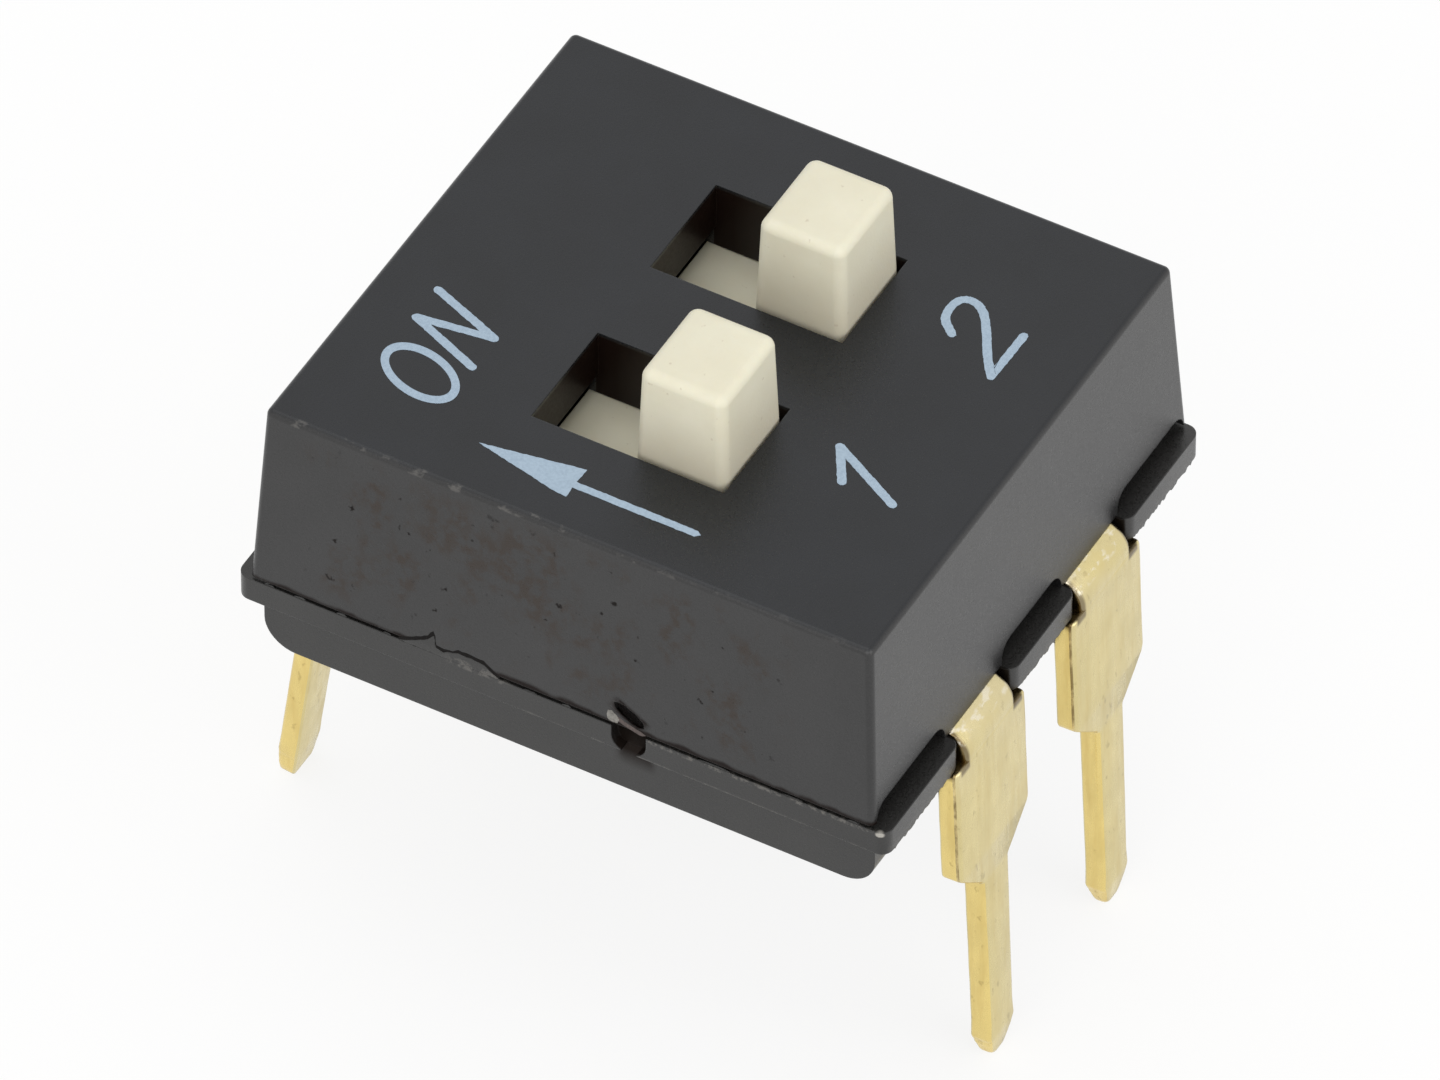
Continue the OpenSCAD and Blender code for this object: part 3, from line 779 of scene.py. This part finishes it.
def parting_shreds(base_mat, rnd):
    """Shreds that close the gap of the parting line here and there, but not at the gate."""
    last, gate = 3.6, (-1.15, -0.5)
    y, k = -last, 0
    while y < last:
        length = min(rnd.uniform(0.1, 0.5), last - y)
        if not (gate[0] < y + length and y < gate[1]):
            tall = rnd.uniform(0.012, 0.034)
            shred = [(y, 0.0), (y + length * 0.3, tall), (y + length * 0.7, tall * 0.8),
                     (y + length, 0.0)]
            plate(f"flash_shred_{k}", shred[::-1], on_end_wall, -0.03, -0.004, base_mat,
                  0.003, 30 + k, 0.06)
            k += 1
        y += length + rnd.uniform(0.15, 0.7)


def broken_edges(base_mat, rnd):
    """Broken lower edge of the flange segments on the numbered side."""
    for k, (x0, x1) in enumerate(SEGMENTS):
        n = int((x1 - x0) / 0.035)
        low = []
        for i in range(n + 1):
            tooth = rnd.choice((0.0, 0.012, 0.03, 0.045)) * rnd.uniform(0.5, 1.0)
            low.append((x0 + (x1 - x0) * i / n, -tooth))
        plate(f"flash_edge_{k}", [(x1, 0.02), (x0, 0.02)] + low, under_flange, -0.03, -0.002,
              base_mat, 0.004, 60 + k, 0.04)


# ---------------------------------------------------------------- stage and light
def stage():
    """A white floor and world. Seen directly, in a reflection or through glass they are plain
    white, while the floor keeps the object's shadow."""
    floor_glow, floor_share, world_light, world_seen = 1.03, 0.8, 0.62, 1.0
    m = Nodes("floor_white")
    path = m.tree.nodes.new("ShaderNodeLightPath").outputs
    seen = m.most(path["Is Camera Ray"], m.most(path["Is Glossy Ray"], path["Is Transmission Ray"]))
    glow = m.tree.nodes.new("ShaderNodeEmission")
    glow.inputs["Color"].default_value = (1, 1, 1, 1)
    glow.inputs["Strength"].default_value = floor_glow
    mat = m.tree.nodes.new("ShaderNodeMixShader")
    m.put(mat.inputs[0], m.times(seen, floor_share))
    m.set(color=(0.9, 0.9, 0.89), rough=0.8)
    m.put(mat.inputs[1], m.shader.outputs[0])
    m.put(mat.inputs[2], glow.outputs[0])
    m.put(m.out.inputs["Surface"], mat.outputs[0])
    me = bpy.data.meshes.new("floor")
    s = FLOOR_HALF
    me.from_pydata([(-s, -s, 0), (s, -s, 0), (s, s, 0), (-s, s, 0)], [], [(0, 1, 2, 3)])
    floor = bpy.data.objects.new("floor", me)
    floor.location = (0, 0, FOOT_Z * MM)
    me.materials.append(m.mat)
    coll.objects.link(floor)

    world = bpy.data.worlds.new("studio")
    scene.world = world
    world.use_nodes = True
    tree = world.node_tree
    back = tree.nodes["Background"]
    path = tree.nodes.new("ShaderNodeLightPath").outputs
    seen = path["Is Camera Ray"]
    for other in ("Is Glossy Ray", "Is Transmission Ray"):
        n = tree.nodes.new("ShaderNodeMath")
        n.operation = "MAXIMUM"
        tree.links.new(seen, n.inputs[0])
        tree.links.new(path[other], n.inputs[1])
        seen = n.outputs[0]
    level = tree.nodes.new("ShaderNodeMapRange")
    tree.links.new(seen, level.inputs["Value"])
    level.inputs["To Min"].default_value = world_light
    level.inputs["To Max"].default_value = world_seen
    tree.links.new(level.outputs["Result"], back.inputs["Strength"])
    back.inputs["Color"].default_value = (1, 1, 1, 1)


def lamp(name, spot, watts):
    """A large soft square lamp, aimed at the object."""
    aim, size = Vector((0, 0, 2)), 300
    data = bpy.data.lights.new(name, "AREA")
    data.shape = "SQUARE"
    data.size = size * MM
    data.energy = watts
    o = bpy.data.objects.new(name, data)
    coll.objects.link(o)
    o.location = Vector(spot) * MM
    o.rotation_euler = (aim - Vector(spot)).to_track_quat("-Z", "Y").to_euler()


# ---------------------------------------------------------------- build
place_camera()
cover_mat = cover_plastic()
base_mat = base_plastic()
cream_mat = cream_plastic()
pin_mats = (gold_strip("terminal_face", (0.705, 0.6, 0.3), (0.65, 0.52, 0.24)),
            gold_strip("terminal_side", (0.8, 0.63, 0.24), (0.66, 0.47, 0.155), dark=0.9),
            gold_strip("terminal_corner", (0.74, 0.6, 0.29), (0.65, 0.48, 0.2), dark=0.8, line=0.75))
spring_mat = gold_strip("contact_metal_look", (0.69, 0.6, 0.335), (0.62, 0.5, 0.24))
ink_mat = print_ink()
# Very dark material of the painted shadow over the flake
flake_shadow_mat = rough_plastic("flake_shadow_look", (0.006, 0.005, 0.0045), 0.15)
chip_mat = rough_plastic("gate_chip_look", (0.235, 0.225, 0.205), 0.5)
ridge_mat = rough_plastic("gate_ridge_look", (0.1, 0.078, 0.072), 0.4)

dressed("cover", "housing", cover_mat)
dressed("base", "housing", base_mat)
for i, pin_x in ((1, -PIN_X), (2, PIN_X)):
    dressed(f"actuator_{i}", f"slider_{i}", cream_mat)
    terminal_look(f"terminal_off_{i}", pin_x, -1, -0.2, 2.4, 0.22, 1.0, pin_mats, i)
    terminal_look(f"terminal_on_{i}", pin_x, 1, 0.6, 8, 0.4, 0.4, pin_mats, 2 + i)
    for s in frame["nodes"][f"contact_{i}"].material_slots:
        s.material = spring_mat
printed_marks(ink_mat)
parting_flash(base_mat, flake_shadow_mat)
torn_gate(cover_mat, chip_mat, ridge_mat)
flash_draws = random.Random(21)
parting_shreds(base_mat, flash_draws)
broken_edges(base_mat, flash_draws)

stage()
lamp("left_lamp", (-314, -78, 235), 0.4)
lamp("right_lamp", (-34, -342, 205), 0.37)
lamp("top_lamp", (0, 60, 395), 0.24)

scene.view_settings.view_transform = "Standard"
